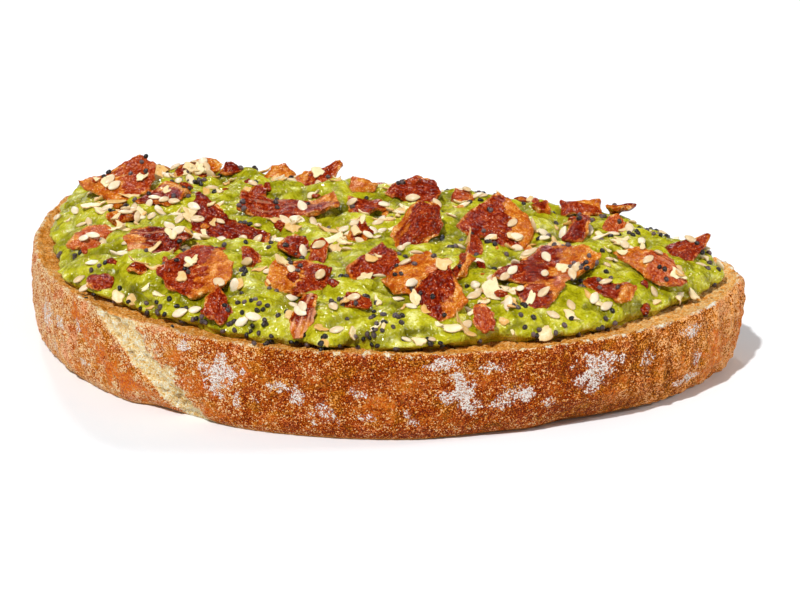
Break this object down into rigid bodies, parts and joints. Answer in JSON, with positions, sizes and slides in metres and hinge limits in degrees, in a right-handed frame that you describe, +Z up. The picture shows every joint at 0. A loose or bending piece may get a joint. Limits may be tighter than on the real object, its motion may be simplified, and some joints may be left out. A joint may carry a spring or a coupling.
{
  "type": "avocado toast",
  "caption": "Open sandwich: a toasted slice of country bread spread with mashed avocado and topped with crisp bacon bits and mixed seeds.",
  "frame": {"origin": "middle of the slice's underside, on the surface it lies on", "axes": "+X along the slice to its rounder end, +Y towards the flat loaf base of the slice, +Z up through the toppings"},
  "size_m": [0.1454, 0.0882, 0.0319],
  "materials": {
    "bread": "matte",
    "avocado": "satin",
    "bacon": "satin",
    "sesame": "satin",
    "poppy": "matte",
    "flakes": "matte"
  },
  "bodies": {
    "root": {"bread_slice": "bread", "avocado_mash": "avocado", "bacon_01": "bacon", "bacon_02": "bacon", "bacon_03": "bacon", "bacon_04": "bacon", "bacon_05": "bacon", "bacon_06": "bacon", "bacon_07": "bacon", "bacon_08": "bacon", "bacon_09": "bacon", "bacon_10": "bacon", "bacon_11": "bacon", "bacon_12": "bacon", "bacon_13": "bacon", "bacon_14": "bacon", "bacon_15": "bacon", "bacon_16": "bacon", "bacon_17": "bacon", "bacon_18": "bacon", "bacon_19": "bacon", "bacon_20": "bacon", "bacon_21": "bacon", "bacon_22": "bacon", "bacon_23": "bacon", "bacon_24": "bacon", "bacon_25": "bacon", "bacon_26": "bacon", "bacon_27": "bacon", "bacon_28": "bacon", "bacon_29": "bacon", "bacon_30": "bacon", "bacon_31": "bacon", "bacon_32": "bacon", "bacon_33": "bacon", "bacon_34": "bacon", "bacon_35": "bacon", "bacon_36": "bacon", "bacon_37": "bacon", "bacon_38": "bacon", "bacon_39": "bacon", "bacon_40": "bacon", "bacon_41": "bacon", "bacon_42": "bacon", "bacon_43": "bacon", "bacon_44": "bacon", "bacon_45": "bacon", "bacon_46": "bacon", "bacon_47": "bacon", "bacon_48": "bacon", "bacon_49": "bacon", "bacon_50": "bacon"}
  },
  "joints": []
}
